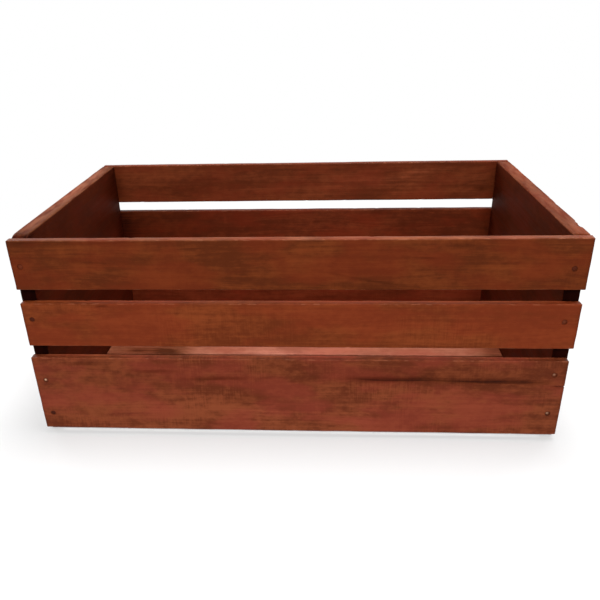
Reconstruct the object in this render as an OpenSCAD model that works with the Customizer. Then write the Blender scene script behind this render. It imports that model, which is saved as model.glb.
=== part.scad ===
// Open wooden crate: two solid end panels, three slats on each long side and a
// floor of spaced boards, butted together and nailed into the end panels.
// Sizes are in millimetres. X runs along the slats, Y from front to back and Z up.
// The origin is on the table under the middle of the crate, and the front is at -Y.

/* [Overall size] */
// Length of the crate over its end panels
crate_w = 460; // [400:1:540]
// Depth of the crate, from the front faces of the slats to the back faces
crate_d = 254; // [220:1:300]

/* [Side slats] */
// Thickness of a side slat
slat_t = 7; // [6:0.5:10]
// Height of the top slat
top_slat_h = 43.5; // [38:0.5:50]
// Height of the middle slat
middle_slat_h = 41; // [36:0.5:48]
// Height of the bottom slat
bottom_slat_h = 75; // [64:0.5:84]
// Gap between the top and the middle slat
upper_gap = 12.3; // [9:0.1:18]
// Gap between the middle and the bottom slat
lower_gap = 11.7; // [9:0.1:18]
// How far the slats and floor boards stop short of the panels' outer faces
slat_short = 0.2; // [0.2:0.1:2]
// How far off its place each front slat is nailed, the bottom one to the left and the others to the right
front_slat_shift = 0.8; // [0:0.1:1.2]
// How much higher the back middle slat is nailed than the front one
back_middle_rise = 1.3; // [0:0.1:2]

/* [End panels] */
// Thickness of an end panel
panel_t = 13.5; // [12:0.5:20]
// Radius of the end panels' top corners
panel_corner_r = 3; // [2:0.5:6]
// Radius of the left panel's front top corner, which is knocked off round
worn_corner_r = 12; // [8:0.5:16]

/* [Floor] */
// Number of boards in the floor
floor_board_n = 4; // [3:1:4]
// Width of a floor board
floor_board_w = 48; // [42:0.5:54]
// Thickness of a floor board
floor_board_t = 6.4; // [5:0.2:9]
// How far the outer floor boards stay back from the inner faces of the slats
floor_set_in = 1; // [0.5:0.1:3]

/* [Edges] */
// Radius of the eased edges of the slats and the end panels
edge_r = 0.8; // [0.5:0.1:1.8]
// Radius of the eased edges of the floor boards
floor_edge_r = 0.8; // [0.5:0.1:1.4]

/* [Nails] */
// Diameter of a nail's shank
nail_d = 1.9; // [1.6:0.1:2.3]
// Diameter of a nail's head
nail_head_d = 4; // [3.4:0.1:4.6]
// Thickness of a nail's head
nail_head_t = 0.9; // [0.7:0.1:1.3]
// Width of the bevel round a nail's head
nail_head_bevel = 0.25; // [0.1:0.05:0.4]
// Length of a nail's point
nail_point_l = 3; // [2:0.5:4]
// Depth of a nail head's outer face below the wood
nail_sink = 0.4; // [0.2:0.1:0.8]
// Clearance round a nail in its hole
nail_clearance = 0.05; // [0.03:0.01:0.1]
// Length of a nail through a side slat
side_nail_l = 25; // [22:1:32]
// Length of a nail through a floor board
floor_nail_l = 19; // [16:1:25]
// Distance of the left side nails from the left panel's outer face
side_nail_in_left = 8.8; // [8.4:0.1:9.6]
// Distance of the right side nails from the right panel's outer face
side_nail_in_right = 11; // [9.6:0.1:11.6]
// Distance of the floor nails from the panels' outer faces, staggered off the side nails
floor_nail_in = 5.8; // [5.4:0.1:6.2]

/* [Hidden] */
SIDES = ["front", "back"];
SLATS = ["top", "middle", "bottom"];
ENDS = ["left", "right"];

// Length of the slats and the floor boards
board_l = crate_w - 2 * slat_short;

// Heights of the slats, and of the front ones' bottom edges above the table, top slat first
slat_h = [top_slat_h, middle_slat_h, bottom_slat_h];
bottom_slat_z = floor_board_t;
middle_slat_z = bottom_slat_z + bottom_slat_h + lower_gap;
top_slat_z = middle_slat_z + middle_slat_h + upper_gap;
slat_z = [top_slat_z, middle_slat_z, bottom_slat_z];

// The end panels fill the height of the slats and the depth between them
panel_h = top_slat_z + top_slat_h - bottom_slat_z;
panel_d = crate_d - 2 * slat_t;

// The floor boards share the depth of the panels, with equal gaps
floor_d = panel_d - 2 * floor_set_in;
floor_pitch = (floor_d - floor_board_w) / (floor_board_n - 1);

// Where the side nails sit up each slat, as shares of its height, top slat first
LEFT_NAIL_SHARES = [[0.48], [0.63], [0.69, 0.22]];
RIGHT_NAIL_SHARES = [[0.42], [0.61], [0.82, 0.3]];
// Where the floor nails sit across each floor board, as shares of its width
FLOOR_NAIL_SHARES = [0.28, 0.72];

cut_overrun = 1;
round_fn = 48;
nail_fn = 32;

STAIN_SLAT = [0.45, 0.20, 0.10];
STAIN_PANEL = [0.38, 0.16, 0.08];
STAIN_FLOOR = [0.60, 0.32, 0.20];
STEEL = [0.35, 0.32, 0.30];

// A rectangle from the origin with its own radius at each corner: low left,
// low right, high right and high left
module rounded_rectangle(w, h, radii) {
    corners = [[0, 0], [w, 0], [w, h], [0, h]];
    difference() {
        square([w, h]);
        for (i = [0:3])
            translate(corners[i])
                rotate(90 * i)
                    corner_waste(radii[i]);
    }
}

// What is cut off a right-angled corner at the origin to round it
module corner_waste(r) {
    difference() {
        translate([-cut_overrun, -cut_overrun])
            square(r + cut_overrun);
        translate([r, r])
            circle(r, $fn = round_fn);
    }
}

// A board from the origin with all its edges eased. The corner radii of its
// outline, seen along X, can be set by themselves.
module eased_board(size, r, outline_radii) {
    even = [r, r, r, r];
    intersection() {
        linear_extrude(size.z)
            rounded_rectangle(size.x, size.y, even);
        translate([0, size.y, 0])
            rotate([90, 0, 0])
                linear_extrude(size.y)
                    rounded_rectangle(size.x, size.z, even);
        rotate([90, 0, 90])
            linear_extrude(size.x)
                rounded_rectangle(size.y, size.z, outline_radii);
    }
}

// Half a nail's section, grown by a clearance, with the head's outer face at
// height 0 and the point down
function nail_section(l, gap, bevel) =
    let (head_r = nail_head_d / 2 + gap, shank_r = nail_d / 2 + gap)
    [
        [0, 0],
        [head_r - bevel, 0],
        [head_r, -bevel],
        [head_r, -nail_head_t],
        [shank_r, -nail_head_t],
        [shank_r, nail_point_l - l],
        [0, -l - gap]
    ];

// A nail along Z with its head up
module nail(l) {
    rotate_extrude($fn = nail_fn)
        polygon(nail_section(l, 0, nail_head_bevel));
}

// The hole that a nail sits in, open above its head
module nail_hole(l) {
    rotate_extrude($fn = nail_fn)
        polygon(nail_section(l, nail_clearance, 0));
    cylinder(h = nail_sink + cut_overrun, r = nail_head_d / 2 + nail_clearance, $fn = nail_fn);
}

// The signs of the sides and ends: front and left are low
function sign_of(name) = name == "front" || name == "left" ? -1 : 1;
function side_nail_in(end) = end == "left" ? side_nail_in_left : side_nail_in_right;
function side_nail_shares(end) = end == "left" ? LEFT_NAIL_SHARES : RIGHT_NAIL_SHARES;

// The front slats are nailed a little out of line, and the back middle one a little high
function slat_shift(side, i) =
    side == "back" ? 0 : SLATS[i] == "bottom" ? -front_slat_shift : front_slat_shift;
function slat_rise(side, i) = side == "back" && SLATS[i] == "middle" ? back_middle_rise : 0;

// The front edge of a floor board, counted from 1 at the front
function floor_board_y(i) = -floor_d / 2 + (i - 1) * floor_pitch;

// Puts its children at each nail of one side and end, with Z out of the wood
module at_side_nails(side, end) {
    x = sign_of(end) * (crate_w / 2 - side_nail_in(end));
    y = sign_of(side) * (crate_d / 2 - nail_sink);
    for (i = [0:len(SLATS) - 1], share = side_nail_shares(end)[i])
        translate([x, y, slat_z[i] + slat_rise(side, i) + share * slat_h[i]])
            rotate([-90 * sign_of(side), 0, 0])
                children();
}

// Puts its children at each floor nail of one end, with Z out of the wood
module at_floor_nails(end) {
    x = sign_of(end) * (crate_w / 2 - floor_nail_in);
    for (i = [1:floor_board_n], share = FLOOR_NAIL_SHARES)
        translate([x, floor_board_y(i) + share * floor_board_w, nail_sink])
            rotate([180, 0, 0])
                children();
}

module end_panel(end) {
    front_top_r = end == "left" ? worn_corner_r : panel_corner_r;
    outline_radii = [edge_r, edge_r, panel_corner_r, front_top_r];
    color(STAIN_PANEL)
        difference() {
            translate([end == "left" ? -crate_w / 2 : crate_w / 2 - panel_t, -panel_d / 2, bottom_slat_z])
                eased_board([panel_t, panel_d, panel_h], edge_r, outline_radii);
            for (side = SIDES)
                at_side_nails(side, end)
                    nail_hole(side_nail_l);
            at_floor_nails(end)
                nail_hole(floor_nail_l);
        }
}

module side_slat(side, i) {
    x = -board_l / 2 + slat_shift(side, i);
    y = side == "front" ? -crate_d / 2 : crate_d / 2 - slat_t;
    color(STAIN_SLAT)
        difference() {
            translate([x, y, slat_z[i] + slat_rise(side, i)])
                eased_board([board_l, slat_t, slat_h[i]], edge_r, [edge_r, edge_r, edge_r, edge_r]);
            for (end = ENDS)
                at_side_nails(side, end)
                    nail_hole(side_nail_l);
        }
}

module floor_board(i) {
    size = [board_l, floor_board_w, floor_board_t];
    r = floor_edge_r;
    color(STAIN_FLOOR)
        difference() {
            translate([-board_l / 2, floor_board_y(i), 0])
                eased_board(size, r, [r, r, r, r]);
            for (end = ENDS)
                at_floor_nails(end)
                    nail_hole(floor_nail_l);
        }
}

module side_nails(side, end) {
    color(STEEL)
        at_side_nails(side, end)
            nail(side_nail_l);
}

module floor_nails(end) {
    color(STEEL)
        at_floor_nails(end)
            nail(floor_nail_l);
}

for (end = ENDS)
    end_panel(end);
for (side = SIDES, i = [0:len(SLATS) - 1])
    side_slat(side, i);
for (i = [1:floor_board_n])
    floor_board(i);
for (side = SIDES, end = ENDS)
    side_nails(side, end);
for (end = ENDS)
    floor_nails(end);
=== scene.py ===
import math
from collections import defaultdict
from dataclasses import dataclass, replace

import bpy
import numpy as np
from mathutils import Matrix, Vector


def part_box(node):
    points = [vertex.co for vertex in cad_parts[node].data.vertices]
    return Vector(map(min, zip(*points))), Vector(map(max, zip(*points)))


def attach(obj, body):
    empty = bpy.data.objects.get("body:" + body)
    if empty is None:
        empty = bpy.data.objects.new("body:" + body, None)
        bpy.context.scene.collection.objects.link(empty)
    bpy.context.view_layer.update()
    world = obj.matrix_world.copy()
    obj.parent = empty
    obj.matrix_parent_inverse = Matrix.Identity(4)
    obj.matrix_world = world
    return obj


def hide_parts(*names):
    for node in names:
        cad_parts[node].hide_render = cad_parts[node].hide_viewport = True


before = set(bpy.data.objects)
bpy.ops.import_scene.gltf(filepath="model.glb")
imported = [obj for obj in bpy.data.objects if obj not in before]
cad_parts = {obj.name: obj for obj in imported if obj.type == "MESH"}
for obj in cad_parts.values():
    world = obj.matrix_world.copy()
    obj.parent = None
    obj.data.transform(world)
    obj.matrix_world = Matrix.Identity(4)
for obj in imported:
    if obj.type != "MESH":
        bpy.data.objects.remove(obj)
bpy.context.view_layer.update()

# An open wooden crate: two end panels, slats along both long sides and a floor of
# spaced boards, stained reddish brown. Every board of the CAD frame is replaced by a
# worn, uneven mesh of the same size, with its nail holes cut, and each nail by a
# hammered one. Sizes and places are in millimetres of the frame, and turn into metres
# where an object is made.
MM = 0.001

# The eased edges and the nails, as in the frame
EDGE_R = 0.8
PANEL_CORNER_R = 3.0
WORN_CORNER_R = 12.0
NAIL_R = 0.95
NAIL_HEAD_R = 2.0
NAIL_HEAD_T = 0.9
NAIL_BEVEL = 0.25
NAIL_POINT_L = 3.0
NAIL_SINK = 0.4
NAIL_CLEARANCE = 0.05
SIDE_NAIL_L = 25.0
FLOOR_NAIL_L = 19.0
SIDE_NAIL_SHARES = {
    "left": {"top": [0.48], "middle": [0.63], "bottom": [0.69, 0.22]},
    "right": {"top": [0.42], "middle": [0.61], "bottom": [0.82, 0.3]},
}
FLOOR_NAIL_SHARES = [0.28, 0.72]
FLOOR_BOARDS = 4

SIDES = ("front", "back")
ENDS = ("left", "right")
SLATS = ("top", "middle", "bottom")


def node_box(node):
    """A CAD node's lowest and highest corners."""
    low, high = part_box(node)
    return np.array(low) / MM, np.array(high) / MM


def srgb(red, green, blue):
    """A colour in steps of 0 to 255, as the linear one that a shader takes."""
    return tuple(((c / 255 + 0.055) / 1.055) ** 2.4 for c in (red, green, blue))


# Smooth noise for the meshes

def hashed(x, y, z, seed):
    """A repeatable number from 0 to 1 for each whole-numbered place."""
    mixed = (x * 73856093) ^ (y * 19349663) ^ (z * 83492791) ^ (seed * 2654435761)
    mixed = mixed & 0xFFFFFFFF
    for shift, factor in ((15, 0x2C1B3C6D), (12, 0x297A2D39)):
        mixed = ((mixed ^ (mixed >> shift)) * factor) & 0xFFFFFFFF
    return (mixed ^ (mixed >> 15)) / 0xFFFFFFFF


def smooth_noise(points, seed):
    """Noise from -1 to 1 with a swell in each unit cell."""
    cell = np.floor(points).astype(np.int64)
    share = points - cell
    share = share * share * (3 - 2 * share)
    total = np.zeros(len(points))
    for corner in np.ndindex(2, 2, 2):
        weight = np.ones(len(points))
        for axis in range(3):
            weight *= share[:, axis] if corner[axis] else 1 - share[:, axis]
        total += weight * hashed(*(cell + corner).T, seed)
    return 2 * total - 1


# Mesh objects

def new_object(name, points, faces, material):
    """A mesh object from points in millimetres."""
    mesh = bpy.data.meshes.new(name)
    mesh.from_pydata((np.asarray(points) * MM).tolist(), [], np.asarray(faces, object).tolist())
    mesh.validate()
    mesh.materials.append(material)
    mesh.shade_smooth()
    made = bpy.data.objects.new(name, mesh)
    bpy.context.scene.collection.objects.link(made)
    return made


def set_values(mesh, name, values):
    """Keeps one number for each vertex, for the material."""
    mesh.attributes.new(name, "FLOAT", "POINT").data.foreach_set("value", values.astype(np.float32))


def keep_result(made):
    """Applies an object's modifiers to its mesh."""
    graph = bpy.context.evaluated_depsgraph_get()
    mesh = bpy.data.meshes.new_from_object(made.evaluated_get(graph))
    old = made.data
    made.modifiers.clear()
    made.data = mesh
    bpy.data.meshes.remove(old)


def joined(parts):
    """Several meshes' points and faces as one."""
    points, faces, count = [], [], 0
    for part_points, part_faces in parts:
        points.append(part_points)
        faces += [tuple(count + i for i in face) for face in part_faces]
        count += len(part_points)
    return np.concatenate(points), faces


def revolved(profile, segments):
    """Points and faces of a profile turned round Z. It starts on the axis, and is closed if it ends there."""
    closed = profile[-1][0] == 0
    turn = np.arange(segments) * 2 * math.pi / segments
    rings = [
        np.stack([r * np.cos(turn), r * np.sin(turn), np.full(segments, z)], 1)
        for r, z in (profile[1:-1] if closed else profile[1:])
    ]
    points = np.concatenate([[[0, 0, profile[0][1]]], *rings])
    last = len(points)
    faces = []
    for i in range(segments):
        j = (i + 1) % segments
        faces.append((0, 1 + i, 1 + j))
        for ring in range(len(rings) - 1):
            base = 1 + ring * segments
            faces.append((base + i, base + segments + i, base + segments + j, base + j))
        if closed:
            faces.append((last - segments + j, last - segments + i, last))
    if closed:
        points = np.concatenate([points, [[0, 0, profile[-1][1]]]])
    return points, faces


# Nails and their holes

HOLE_SEGMENTS = 32
NAIL_SEGMENTS = 36
# How far a nail's hole is cut past the wood
CUT_OVERRUN = 1
# How far a nail head falls toward its rim, and how much its rim is rounded
NAIL_CROWN = 0.04
NAIL_ROUND = 0.08


@dataclass
class Nail:
    """The middle of a nail head's outer face, the direction out of the wood there and the nail's length."""
    place: np.ndarray
    out: tuple
    length: float

    def placed(self, points):
        """Points made along Z with the head up, moved to this nail."""
        turn = Vector((0, 0, 1)).rotation_difference(Vector(self.out)).to_matrix()
        return points @ np.array(turn).T + self.place


def hole_profile(length):
    """Half the section of a nail's hole, open above the head."""
    head = NAIL_HEAD_R + NAIL_CLEARANCE
    shank = NAIL_R + NAIL_CLEARANCE
    above = NAIL_SINK + CUT_OVERRUN
    return [
        (0, above), (head, above), (head, -NAIL_HEAD_T), (shank, -NAIL_HEAD_T),
        (shank, NAIL_POINT_L - length), (0, -length - NAIL_CLEARANCE),
    ]


def nail_profile(length):
    """Half the section of a nail, with rows across its head for the hammer marks."""
    rows = np.linspace(0, NAIL_HEAD_R - NAIL_BEVEL, 8)
    head = [(r, -NAIL_CROWN * (r / NAIL_HEAD_R) ** 2) for r in rows]
    rounded_r = NAIL_HEAD_R - NAIL_ROUND
    return [
        *head, (rounded_r, -0.1), (NAIL_HEAD_R, -NAIL_BEVEL), (NAIL_HEAD_R, -0.7), (rounded_r, -NAIL_HEAD_T),
        (NAIL_R, -NAIL_HEAD_T), (NAIL_R, NAIL_POINT_L - length), (0, -length),
    ]


def side_nails(side, end):
    """One side and end's nails, each with the slat that it holds."""
    low, high = node_box(f"{side}_nails_{end}")
    x = (low[0] + high[0]) / 2
    y = low[1] if side == "front" else high[1]
    out = (0, -1 if side == "front" else 1, 0)
    for slat in SLATS:
        slat_low, slat_high = node_box(f"{side}_slat_{slat}")
        for share in SIDE_NAIL_SHARES[end][slat]:
            z = slat_low[2] + share * (slat_high[2] - slat_low[2])
            yield f"{side}_slat_{slat}", Nail(np.array([x, y, z]), out, SIDE_NAIL_L)


def floor_nails(end):
    """One end's floor nails, each with the board that it holds."""
    low, high = node_box(f"floor_nails_{end}")
    x = (low[0] + high[0]) / 2
    for number in range(1, FLOOR_BOARDS + 1):
        board_low, board_high = node_box(f"floor_board_{number}")
        for share in FLOOR_NAIL_SHARES:
            y = board_low[1] + share * (board_high[1] - board_low[1])
            yield f"floor_board_{number}", Nail(np.array([x, y, low[2]]), (0, 0, -1), FLOOR_NAIL_L)


def all_nails():
    """Each nail, with its CAD node and the two boards that it goes through."""
    for end in ENDS:
        for side in SIDES:
            for slat, nail in side_nails(side, end):
                yield f"{side}_nails_{end}", (slat, f"end_panel_{end}"), nail
        for board, nail in floor_nails(end):
            yield f"floor_nails_{end}", (board, f"end_panel_{end}"), nail


# The nails of each nail node, and those through each board
nails = defaultdict(list)
board_nails = defaultdict(list)
for node, boards, nail in all_nails():
    nails[node].append(nail)
    for board in boards:
        board_nails[board].append(nail)


def drill(board, through):
    """Cuts the holes of the nails that go through a board."""
    holes = []
    for nail in through:
        points, faces = revolved(hole_profile(nail.length), HOLE_SEGMENTS)
        holes.append((nail.placed(points), faces))
    cutter = new_object("cutter", *joined(holes), board.data.materials[0])
    modifier = board.modifiers.new("holes", "BOOLEAN")
    modifier.operation = "DIFFERENCE"
    modifier.solver = "MANIFOLD"
    modifier.object = cutter
    keep_result(board)
    bpy.data.objects.remove(cutter)


# Nodes

class Graph:
    """The nodes of a material or a world, made a call a node."""

    def __init__(self, owner, shader="Principled BSDF"):
        owner.use_nodes = True
        self.owner = owner
        self.tree = owner.node_tree
        self.shader = self.tree.nodes[shader]

    def add(self, kind, values=None, **settings):
        """A new node with its settings, and its sockets linked or set."""
        node =self.tree.nodes.new("ShaderNode" + kind)
        for key, value in settings.items():
            setattr(node, key, value)
        for socket, value in (values or {}).items():
            self.join(value, node.inputs[socket])
        return node

    def join(self, value, socket):
        """Links a socket to another, or sets its own value."""
        if isinstance(value, bpy.types.NodeSocket):
            self.tree.links.new(value, socket)
        else:
            socket.default_value = value

    def shade(self, values):
        """Links or sets the shader's own inputs."""
        for name, value in values.items():
            self.join(value, self.shader.inputs[name])

    def math(self, operation, *values, clamp=False):
        return self.add("Math", dict(enumerate(values)), operation=operation, use_clamp=clamp).outputs[0]

    def plus(self, *values):
        total = values[0]
        for value in values[1:]:
            total = self.math("ADD", total, value)
        return total

    def times(self, *values):
        total = values[0]
        for value in values[1:]:
            total = self.math("MULTIPLY", total, value)
        return total

    def minus(self, a, b):
        return self.math("SUBTRACT", a, b)

    def squares(self, *values):
        """The sum of the values' squares."""
        return self.plus(*[self.times(value, value) for value in values])

    def swing(self, field, amount):
        """How far a field from 0 to 1 is above its middle, times an amount."""
        return self.times(self.minus(field, 0.5), amount)

    def vector(self, x, y, z):
        return self.add("CombineXYZ", {0: x, 1: y, 2: z}).outputs[0]

    def place(self):
        """Where a point of the object lies, in millimetres."""
        position = self.add("TexCoord").outputs["Object"]
        return self.add("VectorMath", {0: position, 1: (1 / MM,) * 3}, operation="MULTIPLY").outputs[0]

    def distance(self, a, b):
        return self.add("VectorMath", {0: a, 1: b}, operation="DISTANCE").outputs["Value"]

    def value(self, name):
        """One of the numbers that a mesh keeps for each vertex."""
        return self.add("Attribute", attribute_name=name).outputs["Fac"]

    def seen_by(self, *rays):
        """1 for these kinds of rays, and 0 for any other."""
        path = self.add("LightPath").outputs
        seen = path[rays[0]]
        for ray in rays[1:]:
            seen = self.math("MAXIMUM", seen, path[ray])
        return seen

    def noise(self, vector, detail=2.0, roughness=0.5):
        values = {"Vector": vector, "Scale": 1.0, "Detail": detail, "Roughness": roughness}
        return self.add("TexNoise", values).outputs[0]

    def remap(self, value, low, high, to_low=0.0, to_high=1.0):
        """A smooth step from one range to another."""
        values = {"Value": value, "From Min": low, "From Max": high, "To Min": to_low, "To Max": to_high}
        return self.add("MapRange", values, interpolation_type="SMOOTHSTEP").outputs["Result"]

    def mix(self, share, a, b, blend="MIX"):
        node = self.add("Mix", data_type="RGBA", blend_type=blend)
        self.join(share, node.inputs[0])
        for value, socket in ((a, node.inputs[6]), (b, node.inputs[7])):
            if isinstance(value, tuple):
                value = (*value, 1)
            self.join(value, socket)
        return node.outputs[2]

    def curve(self, value, stops):
        """A number looked up between stops of (place, level)."""
        node = self.add("ValToRGB", {0: value})
        ramp = node.color_ramp
        while len(ramp.elements) < len(stops):
            ramp.elements.new(0.5)
        for element, (place, level) in zip(ramp.elements, stops):
            element.position = place
            element.color = (level, level, level, 1)
        return node.outputs[0]

    def bump(self, height, strength, depth):
        """A normal tilted by a height field, with its full depth in millimetres."""
        return self.add("Bump", {"Height": height, "Strength": strength, "Distance": depth * MM}).outputs[0]


# How each board's wood looks

@dataclass(kw_only=True)
class Look:
    """One board's stain and grain, with the light and shade painted into it. Places and sizes run along the
    grain, across it on the wide face, and through the board."""
    # Shifts all the board's noise
    seed: int
    # The stain where it is thin, where it is thick, and in its red patches
    light: tuple
    dark: tuple
    red: tuple
    # Where the growth rings' middle lies across and through the board, and how it leans along the grain
    pith: tuple
    lean: tuple
    # The width of a growth ring, and how dark the rings are
    ring: float
    rings: float = 0.4
    # How strong the saw marks are, the bare wood on the top edge and the dark of the end grain, which on the
    # end panels is partly painted shade
    saw: float = 0.0
    rim: float = 0.0
    end_dark: float = 0.35
    # Painted light of the floor's bounce: from where to where across the board it gets lighter, and how much
    fade: tuple = (0, 1, 0.0)
    # From where to where through the board it gets darker, and how much, for each face that does: painted
    # shade on an inner face, and painted light on an outer one where the amount is below 0
    faces: tuple = ()
    rough: float = 0.5
    shine: float = 0.07
    # How strong the long bands and the small mottling are
    bands: float = 1.0
    mottle: float = 1.0
    # The streaks, among them painted shade in corners and painted light from the floor's bounce, and the
    # knots by their places along and across, their radii and how dark they are
    streaks: tuple = ()
    knots: tuple = ()


def streak_or_painted_shade(along, across, half_length, half_width, strength, slope=0.0):
    """A soft dark streak at its own place, or a light one where its strength is below 0. Some of them are
    painted shade and some painted light, not marks in the wood.
    """
    return along, across, half_length, half_width, strength, slope


LOOKS = {
    # The middle and bottom slats' stains are paler than the top one's, partly painted light from the floor's
    # bounce.
    "front_slat_top": Look(
        seed=1, light=srgb(131, 62, 27), dark=srgb(80, 32, 10), red=srgb(122, 45, 20),
        pith=(120, -90), lean=(0.05, 0), ring=5.5, rim=0.09, saw=0.3, mottle=1.1,
        streaks=(
            streak_or_painted_shade(-165, 170.4, 17, 1.5, 0.3, -0.1), streak_or_painted_shade(134, 183.5, 11, 3.2, 0.3),
            streak_or_painted_shade(107, 174, 6, 1.1, 0.4), streak_or_painted_shade(68, 155, 52, 1.2, 0.24, -0.16),
            streak_or_painted_shade(60, 149, 46, 3.4, 0.16, -0.05), streak_or_painted_shade(-60, 158, 34, 4, 0.12),
            streak_or_painted_shade(218, 184, 12, 5, -0.25), streak_or_painted_shade(-220, 193, 110, 6, 0.6),
        ),
    ),
    "front_slat_middle": Look(
        seed=2, light=srgb(147, 70, 34), dark=srgb(98, 40, 16), red=srgb(140, 54, 28),
        pith=(60, -170), lean=(-0.04, 0), ring=6, rings=0.3, saw=0.65, bands=0.7, mottle=1.2,
        streaks=(streak_or_painted_shade(-160, 132.6, 5, 1.2, 0.4),),
    ),
    "front_slat_bottom": Look(
        seed=3, light=srgb(146, 73, 43), dark=srgb(91, 37, 18), red=srgb(152, 62, 46),
        # The bottom slat is painted lighter toward its lower edge, as light from the floor's bounce.
        pith=(72, -185), lean=(0.03, 0.02), ring=7, saw=0.95, fade=(66, 30, 0.2), mottle=1.7,
        streaks=(
            streak_or_painted_shade(-185, 75.3, 18, 1.8, 0.45), streak_or_painted_shade(-123, 68.6, 18, 1.9, 0.42),
            streak_or_painted_shade(-66, 62, 30, 2.4, 0.55), streak_or_painted_shade(66, 61.6, 22, 2.8, 0.5),
            streak_or_painted_shade(100, 61.2, 26, 3.4, 0.7), streak_or_painted_shade(158, 61.4, 30, 3.4, 0.74),
            streak_or_painted_shade(196, 60.6, 22, 2.6, 0.5), streak_or_painted_shade(110, 66, 130, 9, 0.14),
            streak_or_painted_shade(-40, 40, 30, 8, 0.14), streak_or_painted_shade(-150, 60, 70, 14, 0.08),
            # These two light streaks are painted light of the floor's bounce, on the lower edge and the lower
            # half.
            streak_or_painted_shade(0, 3, 900, 6, -0.4), streak_or_painted_shade(0, 26, 220, 26, -0.2),
            streak_or_painted_shade(224, 56.4, 7, 1.6, 0.55), streak_or_painted_shade(-30, 24, 16, 14, -0.1),
            streak_or_painted_shade(60, 22, 12, 16, -0.1),
        ),
    ),
    "back_slat_top": Look(
        seed=4, light=srgb(130, 62, 33), dark=srgb(78, 31, 12), red=srgb(116, 44, 23),
        pith=(182, 185), lean=(0.02, 0), ring=5, bands=0.7, mottle=0.9,
        streaks=(
            streak_or_painted_shade(134, 178, 36, 4, -0.42, 0.2), streak_or_painted_shade(-106, 172.5, 18, 2, 0.25),
            # The streaks at -216 and 216 along are painted shade in the corners beside the end panels.
            streak_or_painted_shade(0, 190, 230, 4, 0.2), streak_or_painted_shade(-216, 168, 9, 30, 0.4),
            streak_or_painted_shade(216, 168, 9, 30, 0.4), streak_or_painted_shade(70, 168, 70, 14, -0.26),
            streak_or_painted_shade(-150, 162, 50, 8, 0.2), streak_or_painted_shade(10, 180, 30, 6, 0.14),
        ),
        knots=((203, 158.5, 4, 0.5),),
    ),
    "back_slat_middle": Look(
        # Its darker stain is partly painted shade, low behind the front slats. The streaks at -222, -186 and
        # 222 along are painted shade in the corners beside the end panels.
        seed=5, light=srgb(118, 52, 26), dark=srgb(70, 25, 9), red=srgb(114, 38, 17),
        pith=(90, 190), lean=(-0.03, 0), ring=5.5, bands=0.7,
        streaks=(
            streak_or_painted_shade(-222, 112, 24, 50, 0.62), streak_or_painted_shade(-186, 112, 70, 60, 0.36),
            streak_or_painted_shade(-92, 124, 2.5, 7, -0.25), streak_or_painted_shade(222, 112, 14, 50, 0.5),
            streak_or_painted_shade(10, 118, 90, 24, -0.16),
        ),
    ),
    "back_slat_bottom": Look(
        seed=6, light=srgb(128, 56, 31), dark=srgb(82, 31, 13), red=srgb(122, 43, 24),
        pith=(20, 200), lean=(0.03, 0), ring=6.5, saw=0.5,
    ),
    "end_panel_left": Look(
        seed=7, light=srgb(112, 47, 22), dark=srgb(74, 26, 9), red=srgb(108, 38, 19),
        # end_dark here is partly painted shade of the panel's front and back edges, recessed between the
        # slats.
        pith=(95, -300), lean=(0.04, 0.05), ring=7, rings=0.3, rim=0.2, end_dark=0.64,
        rough=0.62, shine=0.03, bands=0.6, mottle=0.8,
        # Painted shade on the inner face, and painted light on the outer face.
        faces=((-224, -218, 0.36), (-229, -229.7, -0.35)),
        streaks=(
            streak_or_painted_shade(-114, 187, 17, 9, 0.62), streak_or_painted_shade(-70, 190, 60, 5, 0.2),
            # The streaks at 118 and -116 along are painted shade in the corners where the panel meets the
            # back and front slats.
            streak_or_painted_shade(118, 130, 28, 90, 0.5), streak_or_painted_shade(-116, 115, 16, 60, 0.45),
        ),
    ),
    "end_panel_right": Look(
        seed=8, light=srgb(114, 49, 24), dark=srgb(74, 28, 10), red=srgb(110, 40, 21),
        # end_dark here is partly painted shade of the panel's front and back edges, recessed between the
        # slats.
        pith=(80, 310), lean=(-0.05, 0.04), ring=7, rings=0.3, rim=0.1, end_dark=0.64,
        rough=0.62, shine=0.03, bands=0.6, mottle=0.8,
        # Painted shade on the inner face, and painted light on the outer face.
        faces=((224, 218, 0.26), (229, 229.7, -0.35)),
        # The streaks at 118 and -116 along are painted shade in the corners where the panel meets the back
        # and front slats.
        streaks=(streak_or_painted_shade(118, 130, 20, 90, 0.45), streak_or_painted_shade(-116, 115, 12, 60, 0.3)),
    ),
}
FLOOR_LOOK = Look(
    seed=10, light=srgb(186, 116, 91), dark=srgb(132, 66, 46), red=srgb(172, 90, 68),
    pith=(-90, -55), lean=(0.04, 0.03), ring=6, bands=0.6,
)
for number in range(1, FLOOR_BOARDS + 1):
    LOOKS[f"floor_board_{number}"] = replace(
        FLOOR_LOOK, seed=FLOOR_LOOK.seed + number,
        pith=(FLOOR_LOOK.pith[0] + 62 * number, FLOOR_LOOK.pith[1] - 9 * number),
    )
LOOKS["floor_board_3"] = replace(
    LOOKS["floor_board_3"],
    # Its ends are darker beside the end panels, which is painted shade there, and the left part is also dark
    # wood with knots. It is lighter in the middle.
    streaks=(
        streak_or_painted_shade(-156, 15, 28, 24, 0.62), streak_or_painted_shade(-205, 15, 30, 24, 0.5), streak_or_painted_shade(-136, 15, 14, 24, 0.3),
        streak_or_painted_shade(210, 15, 22, 24, 0.5), streak_or_painted_shade(-10, 15, 60, 24, -0.3),
    ),
    knots=((-184, 14, 6, 0.35), (-152, 13, 7, 0.4)),
)


# The boards

# The axes of the frame along, across and through each kind of board
AXES = {"slat": (0, 2, 1), "floor": (0, 1, 2), "panel": (1, 2, 0)}
# The spacing of its mesh's rows along, across and through it
ROW_STEPS = {"slat": (2.0, 0.8, 1.2), "floor": (2.0, 1.2, 1.2), "panel": (2.0, 1.0, 1.2)}


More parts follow.
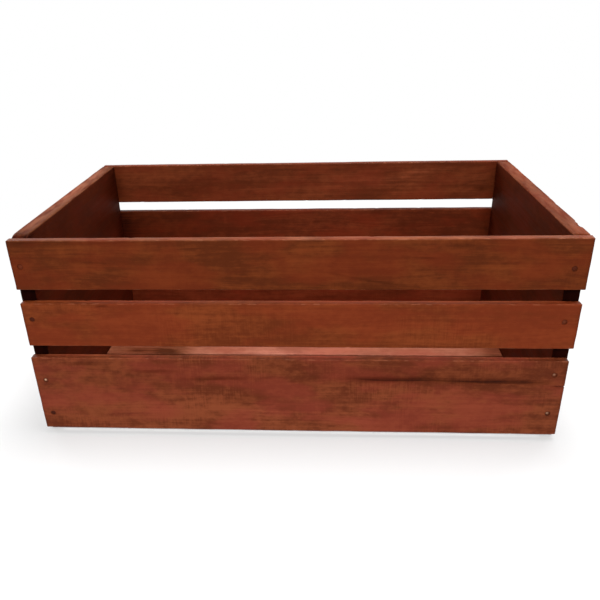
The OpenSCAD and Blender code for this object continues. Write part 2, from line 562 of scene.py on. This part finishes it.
class Plank:
    """A board of the CAD frame: its axes, its box, the nails through it and its look."""

    def __init__(self, name):
        self.name = name
        self.kind = "panel" if "panel" in name else "floor" if "floor" in name else "slat"
        self.axes = AXES[self.kind]
        self.low, self.high = node_box(name)
        self.nails = board_nails[name]
        self.look = LOOKS[name]

    def corner_radii(self):
        """The corners of its outline seen along X, by front or back and by low or high."""
        radii = np.full((2, 2), EDGE_R)
        if self.kind == "panel":
            radii[:, 1] = PANEL_CORNER_R
        if self.name == "end_panel_left":
            radii[0, 1] = WORN_CORNER_R
        return radii


# The materials of the boards

RUBBED = srgb(206, 142, 110)
# The least light level of a patch that isn't placed one by one
DARKEST_PATCH = 0.2
# The least light that a streak or a painted shade leaves
DARKEST_STREAK = 0.2
# How far the stain soaks in from a board's ends
END_STAIN = 3.5
# From where to where round a nail its dark ring fades, and the light it leaves: pooled stain and painted
# shade of its recess
NAIL_RING = (1.9, 3.1)
NAIL_RING_LIGHT = 0.62
# More stain takes more of the green and the blue than of the red
DEEPER_GREEN = 1.2
DEEPER_BLUE = 1.6
# How dark the wood is across one growth ring
RING_STOPS = [(0, 0.35), (0.1, 0.08), (0.55, 0.22), (0.86, 1.0), (0.93, 0.9), (1, 0.35)]
# How much longer a knot is along the grain than across it
KNOT_LENGTH = 2.1


class Grain:
    """Where a point lies in its board, and noise that is drawn out along the grain."""

    def __init__(self, g, plank):
        self.g = g
        self.seed = plank.look.seed
        self.place = g.place()
        xyz = g.add("SeparateXYZ", {0: self.place}).outputs
        self.height = xyz[2]
        self.along, self.across, self.through = (xyz[axis] for axis in plank.axes)
        # The grain flows in long and short waves, and the fibres and the rings follow it
        waves = g.minus(self.noise(230, 60, 5.1), 0.5)
        self.small_waves = g.minus(self.noise(64, 20, 9.7), 0.5)
        drift = g.plus(g.times(waves, 20), g.times(self.small_waves, 4))
        self.flow = (g.plus(self.across, drift), g.minus(self.through, g.times(drift, 0.6)))
        self.lines = self.flowing(210, 2.3, 2.0, 2, 0.6)

    def noise(self, along_size, across_size, shift, detail=2, roughness=0.5, at=None):
        """Noise with swells of these sizes, the same size through the board as across it."""
        g = self.g
        start = self.seed * 17.3 + shift
        across, through = at or (self.across, self.through)
        return g.noise(g.vector(
            g.plus(g.times(self.along, 1 / along_size), start),
            g.plus(g.times(across, 1 / across_size), start * 0.7),
            g.plus(g.times(through, 1 / across_size), start * 1.3),
        ), detail, roughness)

    def flowing(self, along_size, across_size, shift, detail=1, roughness=0.5):
        """Noise that bends with the grain."""
        return self.noise(along_size, across_size, shift, detail, roughness, self.flow)


def knot_distances(g, grain, look):
    """The square of a point's distance from each knot, in the knot's own radii."""
    distances = []
    for knot_along, knot_across, knot_r, _ in look.knots:
        off_along = g.times(g.minus(grain.along, knot_along), 1 / (KNOT_LENGTH * knot_r))
        off_across = g.times(g.minus(grain.across, knot_across), 1 / knot_r)
        distances.append(g.squares(off_along, off_across))
    return distances


def growth_rings(g, grain, look, knots):
    """The dark lines of the rings round the pith, bent by the waves and by each knot."""
    pith_across, pith_through = look.pith
    lean_across, lean_through = look.lean
    off_across = g.minus(grain.flow[0], g.plus(pith_across, g.times(grain.along, lean_across)))
    off_through = g.minus(grain.flow[1], g.plus(pith_through, g.times(grain.along, lean_through)))
    radius = g.plus(g.math("SQRT", g.squares(off_across, off_through)), g.times(grain.small_waves, 5))
    for distance in knots:
        swell = g.math("EXPONENT", g.times(distance, -0.45))
        radius = g.plus(radius, g.times(swell, look.ring * 3.2))
    line = g.curve(g.math("FRACT", g.times(radius, 1 / look.ring)), RING_STOPS)
    weight = g.remap(grain.noise(260, 11, 7.0, 1), 0.3, 0.7, 0.1, 1)
    return g.times(line, weight, look.rings)


def streak_and_shade_darkness(g, grain, look, knots):
    """How dark the streaks and the painted shade are, some of them sloping, and the knots' cores. Painted
    light makes it less.
    """
    wobble = g.plus(g.times(grain.small_waves, 7), g.swing(grain.lines, 3))
    dark = 0.0
    # Each one is a streak in the wood, painted shade or painted light, as its look lists.
    for streak_along, streak_across, half_length, half_width, strength, slope in look.streaks:
        off_along = g.minus(grain.along, streak_along)
        off_across = g.plus(g.minus(grain.across, streak_across), wobble, g.times(off_along, -slope))
        distance = g.squares(g.times(off_along, 1 / half_length), g.times(off_across, 1 / half_width))
        dark = g.plus(dark, g.times(g.math("EXPONENT", g.times(distance, -1.1)), strength))
    dark = g.times(dark, g.remap(grain.lines, 0.3, 0.7, 0.6, 1.15))
    for distance, (*_, strength) in zip(knots, look.knots):
        dark = g.plus(dark, g.times(g.math("EXPONENT", g.times(distance, -1.6)), strength))
    return dark


def saw_marks(g, grain, look):
    """Fine marks across the grain, in patches."""
    through = g.plus(g.times(grain.through, 1 / 26), look.seed)
    marks = g.noise(g.vector(g.times(grain.along, 1 / 1.3), g.times(grain.across, 1 / 22), through), 2, 0.6)
    patches = g.remap(grain.noise(55, 34, 8.0), 0.42, 0.66)
    return g.times(g.remap(marks, 0.34, 0.66, -0.5, 0.5), patches, look.saw)


def rubbed_color(g, grain, plank, color):
    """The colour with its stain rubbed off the edges, and more so off the top one."""
    look = plank.look
    edge = g.times(g.remap(g.value("edge"), 0.35, 0.95), g.remap(grain.noise(6, 2.2, 11.0), 0.5, 0.66))
    color = g.mix(g.times(edge, 0.42), color, g.mix(0.35, look.light, RUBBED))
    top = plank.high[2]
    rim = g.remap(grain.height, top - 1.4, top - 0.5)
    rim = g.times(rim, g.remap(grain.noise(24, 5, 13.0), 0.32, 0.62, 0.1, 1.2))
    return g.mix(g.times(rim, look.rim), color, RUBBED)


def stain_and_painted_shade(g, grain, plank, pores, end, streaks):
    """The light that the stain and the painted shade leave of each colour. The ends and the end grain drink
    more of it, the streaks and the faces' painted shade darken it, and each nail has a dark ring of pooled
    stain and painted shade of its recess."""
    look = plank.look
    first = plank.low[plank.axes[0]]
    last = plank.high[plank.axes[0]]
    near_first = g.remap(grain.along, first, first + END_STAIN, 1, 0)
    near_last = g.remap(grain.along, last - END_STAIN, last)
    near_end = g.plus(near_first, near_last)
    light = g.plus(1.0, g.times(pores, -0.18), g.times(end, -look.end_dark), g.times(near_end, -0.22))
    light = g.times(light, g.math("MAXIMUM", g.minus(1.0, streaks), DARKEST_STREAK))
    # Painted shade on an inner face, and painted light on an outer one.
    for face_from, face_to, face_shade in look.faces:
        light = g.times(light, g.minus(1.0, g.remap(grain.through, face_from, face_to, 0, face_shade)))
    # A dark ring round each nail: pooled stain and painted shade of its recess.
    for nail in plank.nails:
        distance = g.distance(grain.place, tuple(nail.place))
        light = g.times(light, g.remap(distance, *NAIL_RING, NAIL_RING_LIGHT, 1))
    return g.vector(light, g.math("POWER", light, DEEPER_GREEN), g.math("POWER", light, DEEPER_BLUE))


def wood_material(plank):
    """Stained wood, from fibres, rings, stain blotches, pores, saw marks, streaks and knots, with painted
    shade and painted light.
    """
    look = plank.look
    g = Graph(bpy.data.materials.new(plank.name))
    grain = Grain(g, plank)
    lines = grain.lines
    knots = knot_distances(g, grain, look)
    rings = growth_rings(g, grain, look, knots)
    streaks = streak_and_shade_darkness(g, grain, look, knots)
    saw = saw_marks(g, grain, look)
    fibres = grain.flowing(85, 0.6, 1.0, 3, 0.65)
    bands = grain.flowing(150, 8, 2.5, 2, 0.55)
    flecks = g.remap(grain.flowing(11, 1.2, 6.5), 0.6, 0.74)
    scratches = g.remap(grain.flowing(16, 0.7, 14.5), 0.66, 0.78)
    pores = g.times(g.remap(grain.flowing(6, 0.4, 6.0), 0.62, 0.76), g.remap(lines, 0.35, 0.6, 0.3, 1))
    mottle = grain.noise(9, 6, 12.5, 3, 0.62)
    blotches = grain.noise(70, 30, 3.0)
    red_patches = grain.noise(60, 26, 4.0, 3, 0.55)
    end = g.value("end")

    # Painted light of the floor's bounce, lighter across the board.
    bounce_from, bounce_to, bounce_by = look.fade
    level = g.plus(
        0.5,
        g.swing(fibres, 0.78),
        g.swing(lines, 0.8),
        g.swing(bands, look.bands),
        g.swing(mottle, 1.1 * look.mottle),
        g.swing(blotches, 1.6),
        g.times(saw, 0.36),
        g.times(flecks, -0.14),
        g.times(scratches, 0.3),
        g.times(rings, -0.45),
        g.remap(grain.across, bounce_from, bounce_to, 0, bounce_by),
    )
    level = g.math("SMOOTH_MAX", level, DARKEST_PATCH, 0.25)
    color = g.mix(g.remap(level, -0.25, 1.25), look.dark, look.light)
    color = g.mix(g.remap(red_patches, 0.4, 0.62, 0, 0.85), color, g.mix(0.6, color, look.red))
    color = rubbed_color(g, grain, plank, color)
    color = g.mix(1.0, color, stain_and_painted_shade(g, grain, plank, pores, end, streaks), "MULTIPLY")

    relief = g.plus(
        g.times(fibres, 0.6), g.times(lines, 0.35), g.times(pores, -0.5), g.times(flecks, -0.2),
        g.times(saw, 0.5), g.times(streaks, -0.2), g.times(rings, -0.15),
    )
    g.shade({
        "Base Color": color,
        "Roughness": g.plus(look.rough, g.swing(lines, 0.3), g.times(end, 0.2), g.times(pores, 0.1)),
        "Specular IOR Level": look.shine,
        "Normal": g.bump(relief, 0.45, 0.2),
    })
    return g.owner


# The wear of the boards

# Small nicks along the long edges: how many, how far from the ends, how wide and how deep
EDGE_NICKS = 7
NICK_FREE_END = 4
NICK_REACHES = (1.6, 3.6)
NICK_DEPTHS = (0.1, 0.5)
# How deep the faces' long hollows and their narrow grooves are, and how far the edges are rubbed down
HOLLOW_DEPTH = 0.05
GROOVE_DEPTH = 0.03
EDGE_WEAR = 0.35
# How far in from its edges a board is rubbed
EDGE_REACH = 2.2


@dataclass
class Crack:
    """A crack that opens from its tip to the board's end, at one place across the board."""
    tip: float
    end: float
    across: float
    half_width: float
    depth: float

    def rows(self):
        """Close rows for the board's mesh, across the crack."""
        return self.across + self.half_width * np.linspace(-4, 4, 17)

    def depth_at(self, along, across):
        """How deep the crack goes, deeper toward the board's end."""
        share = np.clip((along - self.tip) / (self.end - self.tip), 0, 1)
        bent = self.across + 0.5 * np.sin(along * 0.55)
        inside = np.clip(1.3 - np.abs(across - bent) / self.half_width, 0, 1)
        return self.depth * np.sqrt(share) * inside


CRACKS = {"front_slat_bottom": [Crack(tip=219, end=229.2, across=56.4, half_width=0.6, depth=1.2)]}
# Knocks on a board's edges: the place, how wide and how deep
KNOCKS = {
    "end_panel_right": [
        ((230, -96, 189.9), 6, 1.5),
        ((230, -88, 189.9), 3.5, 0.9),
        ((230, -40, 189.9), 5, 0.6),
    ],
}


def small_nicks(plank):
    """Random knocks along a board's four long edges."""
    rng = np.random.default_rng(plank.look.seed)
    long_axis = plank.axes[0]
    low, high = plank.low, plank.high
    sides = [axis for axis in range(3) if axis != long_axis]
    knocks = []
    for edge in np.ndindex(2, 2):
        for along in rng.uniform(low[long_axis] + NICK_FREE_END, high[long_axis] - NICK_FREE_END, EDGE_NICKS):
            place = np.empty(3)
            place[long_axis] = along
            for axis, high_side in zip(sides, edge):
                place[axis] = high[axis] if high_side else low[axis]
            knocks.append((place, rng.uniform(*NICK_REACHES), rng.uniform(*NICK_DEPTHS)))
    return knocks


def wear_depth(plank, points, edge):
    """How far a board's surface is worn down at each point."""
    seed = plank.look.seed
    grain = points[:, plank.axes]
    depth = HOLLOW_DEPTH * (1 + smooth_noise(grain / (70, 24, 24), seed))
    depth += GROOVE_DEPTH * (1 + smooth_noise(grain / (45, 2.6, 2.6), seed + 50))
    rubbed = np.clip(smooth_noise(grain / (22, 9, 9), seed + 90) + 0.35, 0, 1)
    depth += EDGE_WEAR * edge ** 2 * rubbed
    for place, reach, knocked in [*KNOCKS.get(plank.name, ()), *small_nicks(plank)]:
        near = np.linalg.norm(points - np.array(place), axis=1) / reach
        depth = np.maximum(depth, knocked * np.clip(1 - near, 0, 1) ** 0.7)
    for crack in CRACKS.get(plank.name, ()):
        depth += crack.depth_at(grain[:, 0], grain[:, 1])
    return depth


# The boards' meshes

# How many rows lie on each half of an edge's turn
TURN_ROWS = 3
# Edges that turn by more than this stay sharp
BOARD_SHARP = math.radians(50)
NAIL_SHARP = math.radians(40)


def stations(low, high, step, extra):
    """Where a mesh's rows lie along one axis: close on its eased edges, even between, and some extra."""
    turns = [EDGE_R * (1 - math.tan(math.pi / 4 * (1 - i / TURN_ROWS))) for i in range(TURN_ROWS)]
    rows = int(round((high - low - 2 * EDGE_R) / step))
    even = np.linspace(low + EDGE_R, high - EDGE_R, max(rows, 1) + 1)
    places = [*(low + t for t in turns), *even, *(high - t for t in turns), *extra]
    return np.unique(np.round(places, 4))


def box_grid(rows):
    """The points and squares of a closed grid over a box, from the rows along each axis."""
    index = np.arange(math.prod(len(r) for r in rows)).reshape([len(r) for r in rows])
    squares = []
    for axis in range(3):
        for end in (0, -1):
            face = np.take(index, end, axis)
            square = np.stack([face[:-1, :-1], face[1:, :-1], face[1:, 1:], face[:-1, 1:]], -1)
            outward = (axis == 1) != (end == -1)
            squares.append((square if outward else square[..., ::-1]).reshape(-1, 4))
    squares = np.concatenate(squares)
    used, squares = np.unique(squares, return_inverse=True)
    picked = np.unravel_index(used, index.shape)
    points = np.stack([np.asarray(row)[i] for row, i in zip(rows, picked)], 1)
    return points, squares.reshape(-1, 4)


def ease(points, middle, half, r, corner_rs):
    """Rounds a box's edges by r, and the corners of its outline seen along X each by its own radius.
    Gives the points and their outward directions."""
    p = points - middle
    sign = np.where(p < 0, -1.0, 1.0)
    corner_r = corner_rs[(p[:, 1] > 0).astype(int), (p[:, 2] > 0).astype(int)]
    into = np.abs(p[:, 1:]) - (half[1:] - corner_r[:, None])
    in_corner = (into > 0).all(1)
    reach = np.hypot(*into.T)
    pull = np.where(in_corner, into.max(1) / np.maximum(reach, 1e-9), 1)
    into[in_corner] *= pull[in_corner, None]
    p[:, 1:] = sign[:, 1:] * (into + half[1:] - corner_r[:, None])
    reach = np.hypot(*np.maximum(into, 0).T)
    beyond = np.where(in_corner, reach, into.max(1)) - corner_r
    lead = np.where(in_corner[:, None], into / np.maximum(reach, 1e-9)[:, None], into == into.max(1)[:, None])
    core = p.copy()
    core[:, 1:] -= sign[:, 1:] * lead * np.maximum(beyond + r, 0)[:, None]
    core[:, 0] = np.clip(p[:, 0], r - half[0], half[0] - r)
    out = p - core
    out /= np.linalg.norm(out, axis=1)[:, None]
    return core + r * out + middle, out


def edge_closeness(points, middle, half):
    """1 at a box's edges, falling to 0 away from them."""
    inset = np.sort(half - np.abs(points - middle), axis=1)
    return np.clip(1 - inset[:, 1] / EDGE_REACH, 0, 1)


def make_board(plank):
    """A worn board of a plank's size, before its nail holes are cut."""
    middle = (plank.low + plank.high) / 2
    half = (plank.high - plank.low) / 2
    steps = np.empty(3)
    steps[list(plank.axes)] = ROW_STEPS[plank.kind]
    extra = [(), (), ()]
    extra[plank.axes[1]] = [row for crack in CRACKS.get(plank.name, ()) for row in crack.rows()]
    rows = [stations(plank.low[i], plank.high[i], steps[i], extra[i]) for i in range(3)]
    points, squares = box_grid(rows)
    edge = edge_closeness(points, middle, half)
    points, out = ease(points, middle, half, EDGE_R, plank.corner_radii())
    points = points - out * wear_depth(plank, points, edge)[:, None]
    board = new_object(plank.name + "_board", points, squares, wood_material(plank))
    set_values(board.data, "edge", edge)
    set_values(board.data, "end", np.clip(np.abs(out[:, plank.axes[0]]) * 1.8 - 0.6, 0, 1))
    return board


for name in LOOKS:
    plank = Plank(name)
    board = make_board(plank)
    drill(board, plank.nails)
    board.data.set_sharp_from_angle(angle=BOARD_SHARP)
    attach(board, "root")
    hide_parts(name)
    "panel_wood" if "panel" in name else "floor_wood" if "floor" in name else "slat_wood"


# The nails

STAINED = srgb(112, 49, 25)
DIRT_AND_SHADE = srgb(58, 20, 11)
BARE_STEEL_GLINT = srgb(220, 174, 140)
# How bare the heads are, with a painted glint there, and how dirty and shaded, as the photograph shows, from
# the top slat down
FRONT_HEADS = {
    "front_nails_left": [(0.0, 0.0), (0.0, 0.9), (1.2, 0.3), (0.0, 0.9)],
    "front_nails_right": [(0.0, 0.7), (0.04, 0.25), (0.5, 0.2), (0.75, 0.6)],
}
OTHER_HEADS = [(0.5, 0.3), (0.1, 0.1), (0.9, 0.4), (0.2, 0.7)]
# The spot of a head where the hammer has bared the steel, and where a painted glint lies
GLINT_PLACE = (-0.35, 0.3)
GLINT_REACH = 0.95
# The dents of the hammer
DENT_SIZE = 0.9
DENT_DEPTH = 0.05
DENT_SEED = 300


def nail_material():
    """Steel under stain and dirt, with painted shade at the heads' rims and a painted glint on some. Its
    heads differ by their own values: how bare, with the glint, and how dirty and shaded they are.
    """
    g = Graph(bpy.data.materials.new("nail_steel"))
    specks = g.noise(g.place(), 3, 0.6)
    rough = g.remap(specks, 0.35, 0.65, 0.7, 1)
    bare_glint = g.math("MULTIPLY", g.value("bare_glint"), rough, clamp=True)
    dirt_and_shade_share = g.math("MULTIPLY", g.value("dirt_and_shade"), rough, clamp=True)
    g.shade({
        # The bare spot's pale colour is a painted glint; the dark share is dirt and painted shade.
        "Base Color": g.mix(bare_glint, g.mix(dirt_and_shade_share, STAINED, DIRT_AND_SHADE), BARE_STEEL_GLINT),
        "Metallic": g.times(bare_glint, 0.6),
        "Roughness": g.remap(bare_glint, 0, 1, 0.6, 0.34),
        "Specular IOR Level": 0.1,
        "Normal": g.bump(specks, 0.4, 0.1),
    })
    return g.owner


def make_nail(nail, number, bare_glint, dirt_and_shade):
    """A hammered nail's mesh, and how bare, with a painted glint, and how dirty and shaded it is at each
    point.
    """
    points, faces = revolved(nail_profile(nail.length), NAIL_SEGMENTS)
    # A painted glint on the bare spot of the head.
    glint = np.exp(-((points[:, :2] - GLINT_PLACE) ** 2).sum(1) / GLINT_REACH ** 2)
    on_head = np.clip(1 + points[:, 2] / NAIL_BEVEL, 0, 1)
    dents = 1 + smooth_noise(points / DENT_SIZE + 7 * number, DENT_SEED)
    points[:, 2] -= DENT_DEPTH * dents * on_head
    # The head is painted darker toward its rim, as shade of the recess round it.
    rim_shade = np.clip(np.hypot(points[:, 0], points[:, 1]) / NAIL_HEAD_R, 0, 1) ** 3
    values = np.stack([bare_glint * glint * on_head, dirt_and_shade + 0.3 * rim_shade], 1)
    return (nail.placed(points), faces), values


steel = nail_material()
for name, node_nails in nails.items():
    heads = FRONT_HEADS.get(name, OTHER_HEADS)
    made_nails = [make_nail(nail, i, *heads[i % len(heads)]) for i, nail in enumerate(node_nails)]
    meshes, values = zip(*made_nails)
    made = new_object(name + "_set", *joined(meshes), steel)
    bare_glint, dirt_and_shade = np.concatenate(values).T
    set_values(made.data, "bare_glint", bare_glint)
    set_values(made.data, "dirt_and_shade", dirt_and_shade)
    made.data.set_sharp_from_angle(angle=NAIL_SHARP)
    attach(made, "root")
    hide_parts(name)


# The studio

FLOOR_R = 4000
FLOOR_RINGS = 24
FLOOR_SEGMENTS = 96
# The floor's own colour, as it is seen and as it lights the crate
FLOOR_SEEN = 0.8
FLOOR_BOUNCE = 0.22
# How much of the floor is plain white near the crate, and from where to where it turns all white
FLOOR_WHITE = 0.45
FLOOR_FADE = (300, 900)
# How strongly the world lights the crate, where what is seen of it is 1
WORLD_LIGHT = 0.12
LAMP_SIZE = (900, 700)
LAMP_TARGET = (0, 0, 100)
# Each lamp's place, and its power in watts
LAMPS = {
    "front": ((0, -1600, 1300), 28),
    "overhead": ((150, 100, 1900), 33),
    "back_left": ((-1700, 1500, 950), 13),
    "back_right": ((1700, 1500, 950), 13),
}


def make_floor():
    """A pale floor that fades to white away from the crate and keeps its shadow."""
    g = Graph(bpy.data.materials.new("studio_floor"))
    seen = g.seen_by("Is Camera Ray", "Is Glossy Ray")
    g.shade({
        "Base Color": g.mix(seen, (FLOOR_BOUNCE,) * 3, (FLOOR_SEEN,) * 3),
        "Roughness": 0.9,
        "Specular IOR Level": 0.0,
    })
    white = g.add("Emission", {"Color": (1, 1, 1, 1), "Strength": 1.0})
    distance = g.distance(g.place(), (0, 0, 0))
    share = g.times(seen, g.remap(distance, *FLOOR_FADE, FLOOR_WHITE, 1))
    mixed = g.add("MixShader", {0: share, 1: g.shader.outputs[0], 2: white.outputs[0]})
    g.join(mixed.outputs[0], g.tree.nodes["Material Output"].inputs["Surface"])
    profile = [(FLOOR_R * (ring / FLOOR_RINGS) ** 2, 0) for ring in range(FLOOR_RINGS + 1)]
    floor = new_object("studio_floor", *revolved(profile, FLOOR_SEGMENTS), g.owner)


def make_world():
    """White for what sees it, and a soft grey light on the crate."""
    world = bpy.data.worlds.new("studio")
    bpy.context.scene.world = world
    g = Graph(world, "Background")
    seen = g.seen_by("Is Camera Ray", "Is Glossy Ray", "Is Transmission Ray")
    g.shade({"Color": (1, 1, 1, 1), "Strength": g.remap(seen, 0, 1, WORLD_LIGHT, 1)})


def soft_light(name, place, power):
    """A soft lamp that faces the crate's middle."""
    data = bpy.data.lights.new(name, "AREA")
    data.shape = "RECTANGLE"
    data.size, data.size_y = (side * MM for side in LAMP_SIZE)
    data.energy = power
    light = bpy.data.objects.new(name, data)
    bpy.context.scene.collection.objects.link(light)
    light.location = Vector(place) * MM
    light.rotation_euler = (Vector(place) - Vector(LAMP_TARGET)).to_track_quat("Z", "Y").to_euler()


make_floor()
make_world()
for name, (place, power) in LAMPS.items():
    soft_light(name, place, power)


# The camera, from the crate's corners in the photograph

CAMERA_PLACE = (27.69, -582.92, 357.73)
CAMERA_PITCH = math.radians(25.70)
CAMERA_YAW = math.radians(-4.17)
CAMERA_ROLL = math.radians(-1.75)
FOCAL_PX = 624.03
CENTRE_PX = 285.0
IMAGE_PX = 600
SENSOR = 36.0


def make_camera():
    """The camera at its place, turned down, to the side and round, with its centre left of the middle."""
    forward = Vector((
        math.sin(CAMERA_YAW) * math.cos(CAMERA_PITCH),
        math.cos(CAMERA_YAW) * math.cos(CAMERA_PITCH),
        -math.sin(CAMERA_PITCH),
    ))
    level_right = Vector((math.cos(CAMERA_YAW), -math.sin(CAMERA_YAW), 0))
    level_up = level_right.cross(forward)
    right = math.cos(CAMERA_ROLL) * level_right + math.sin(CAMERA_ROLL) * level_up
    up = math.cos(CAMERA_ROLL) * level_up - math.sin(CAMERA_ROLL) * level_right
    data = bpy.data.cameras.new("camera")
    data.sensor_width = SENSOR
    data.lens = FOCAL_PX / IMAGE_PX * SENSOR
    data.shift_x = (IMAGE_PX / 2 - CENTRE_PX) / IMAGE_PX
    camera = bpy.data.objects.new("camera", data)
    turn = Matrix((right, up, -forward)).transposed().to_4x4()
    camera.matrix_world = Matrix.Translation(Vector(CAMERA_PLACE) * MM) @ turn
    bpy.context.scene.collection.objects.link(camera)
    bpy.context.scene.camera = camera


make_camera()
bpy.context.scene.view_settings.view_transform = "Standard"
